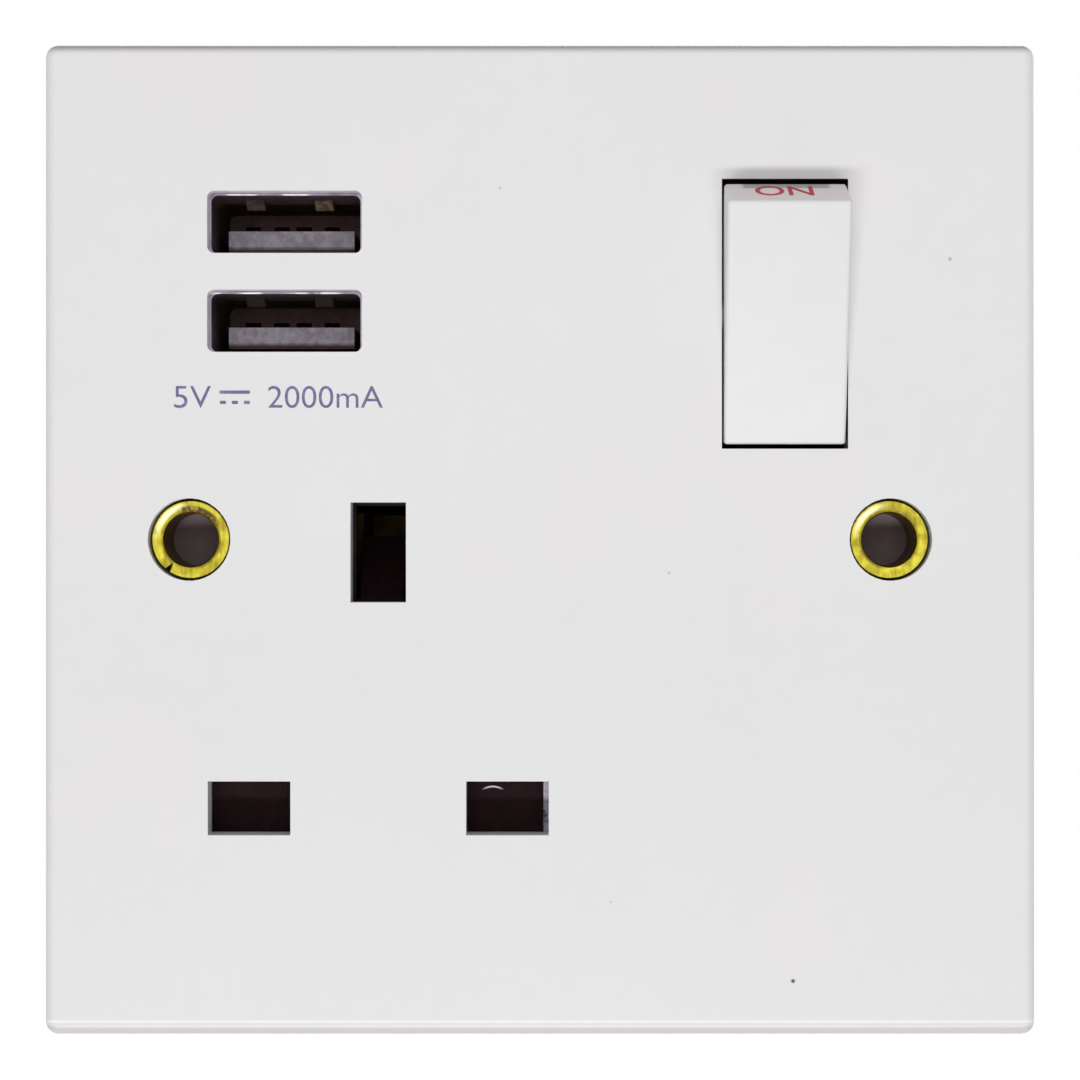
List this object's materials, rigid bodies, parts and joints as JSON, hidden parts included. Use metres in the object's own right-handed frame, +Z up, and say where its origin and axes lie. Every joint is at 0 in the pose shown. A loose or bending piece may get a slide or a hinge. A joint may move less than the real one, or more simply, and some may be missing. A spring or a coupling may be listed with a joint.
{
  "type": "usb wall socket",
  "caption": "Square white wall plate with a switched square-pin power socket, rocker switch, shuttered slots and USB charging ports, on a rear housing for a flush box.",
  "frame": {"origin": "midway between the two fixing holes, on the wall plane that the plate's rim rests on", "axes": "+Z up, +X to the right seen from the front, the plate faces -Y and the housing points along +Y into the wall"},
  "size_m": [0.086, 0.0351, 0.086],
  "materials": {
    "plate_plastic": "satin white urea moulding",
    "rocker_plastic": "glossy white moulding",
    "housing_plastic": "matt dark moulding",
    "guide_plastic": "matt dark moulding",
    "shutter_plastic": "dark matt moulding",
    "eyelet_brass": "bright drawn brass",
    "strip_brass": "stamped brass",
    "terminal_brass": "machined brass",
    "screw_steel": "zinc plated steel",
    "spring_steel": "drawn spring steel",
    "silver_tip": "silver contact",
    "shell_steel": "nickel plated steel sheet",
    "tongue_plastic": "dark moulding, dusty at its front",
    "contact_gold": "dark contact strip",
    "plunger_plastic": "acetal",
    "board_green": "coated laminate",
    "part_black": "moulded component",
    "ferrite": "sintered ferrite",
    "winding_tape": "yellow polyester tape",
    "can_aluminium": "sleeved can"
  },
  "bodies": {
    "housing": {"face_plate": "plate_plastic", "rear_housing": "housing_plastic", "fixing_eyelet_left": "eyelet_brass", "fixing_eyelet_right": "eyelet_brass", "earth_strap": "strip_brass", "fixed_contact_tip": "silver_tip", "contact_bracket": "strip_brass", "live_strip": "strip_brass", "neutral_strip": "strip_brass", "module_live_tab": "strip_brass", "live_clip": "strip_brass", "neutral_clip": "strip_brass", "earth_clip": "strip_brass", "live_terminal": "terminal_brass", "neutral_terminal": "terminal_brass", "earth_terminal": "terminal_brass", "live_terminal_screw": "screw_steel", "neutral_terminal_screw": "screw_steel", "earth_terminal_screw": "screw_steel", "shutter_guide": "guide_plastic", "shutter_spring": "spring_steel", "usb_board": "board_green", "transformer_core": "ferrite", "transformer_winding": "winding_tape", "input_capacitor": "can_aluminium", "output_capacitor": "can_aluminium", "filter_choke": "ferrite", "bridge_rectifier": "part_black", "controller_chip": "part_black", "output_diode": "part_black", "module_fuse": "part_black", "housing_screw_1": "screw_steel", "housing_screw_2": "screw_steel", "housing_screw_3": "screw_steel", "housing_screw_4": "screw_steel", "usb_shell_upper": "shell_steel", "usb_tongue_upper": "tongue_plastic", "usb_contacts_upper": "contact_gold", "usb_shell_lower": "shell_steel", "usb_tongue_lower": "tongue_plastic", "usb_contacts_lower": "contact_gold"},
    "rocker": {"rocker": "rocker_plastic", "rocker_spring": "spring_steel"},
    "plunger": {"rocker_plunger": "plunger_plastic"},
    "contact": {"moving_contact": "strip_brass", "moving_contact_tip": "silver_tip"},
    "shutter": {"shutter": "shutter_plastic"}
  },
  "joints": [
    {"name": "rocker_tilt", "type": "hinge", "parent": "housing", "child": "rocker", "pos_m": [0.02105, -0.00635, 0.0194], "axis": [-1, 0, 0], "range_deg": [0, 27.2]},
    {"name": "contact_tilt", "type": "hinge", "parent": "housing", "child": "contact", "pos_m": [0.02105, 0.00305, 0.0194], "axis": [-1, 0, 0], "range_deg": [-24, 0]},
    {"name": "plunger_slide", "type": "slide", "parent": "rocker", "child": "plunger", "axis": [0, -0.972, -0.2351], "range_m": [0, 0.0005], "stiffness_N_per_m": 200, "deforming": ["rocker_spring"]},
    {"name": "shutter_slide", "type": "slide", "parent": "housing", "child": "shutter", "axis": [0, 0, -1], "range_m": [0, 0.0055], "stiffness_N_per_m": 60, "springref_m": -0.002, "deforming": ["shutter_spring"]}
  ],
  "couplings": [
    {"joint": "contact_tilt", "follows": "rocker_tilt", "ratio": -0.88235}
  ]
}
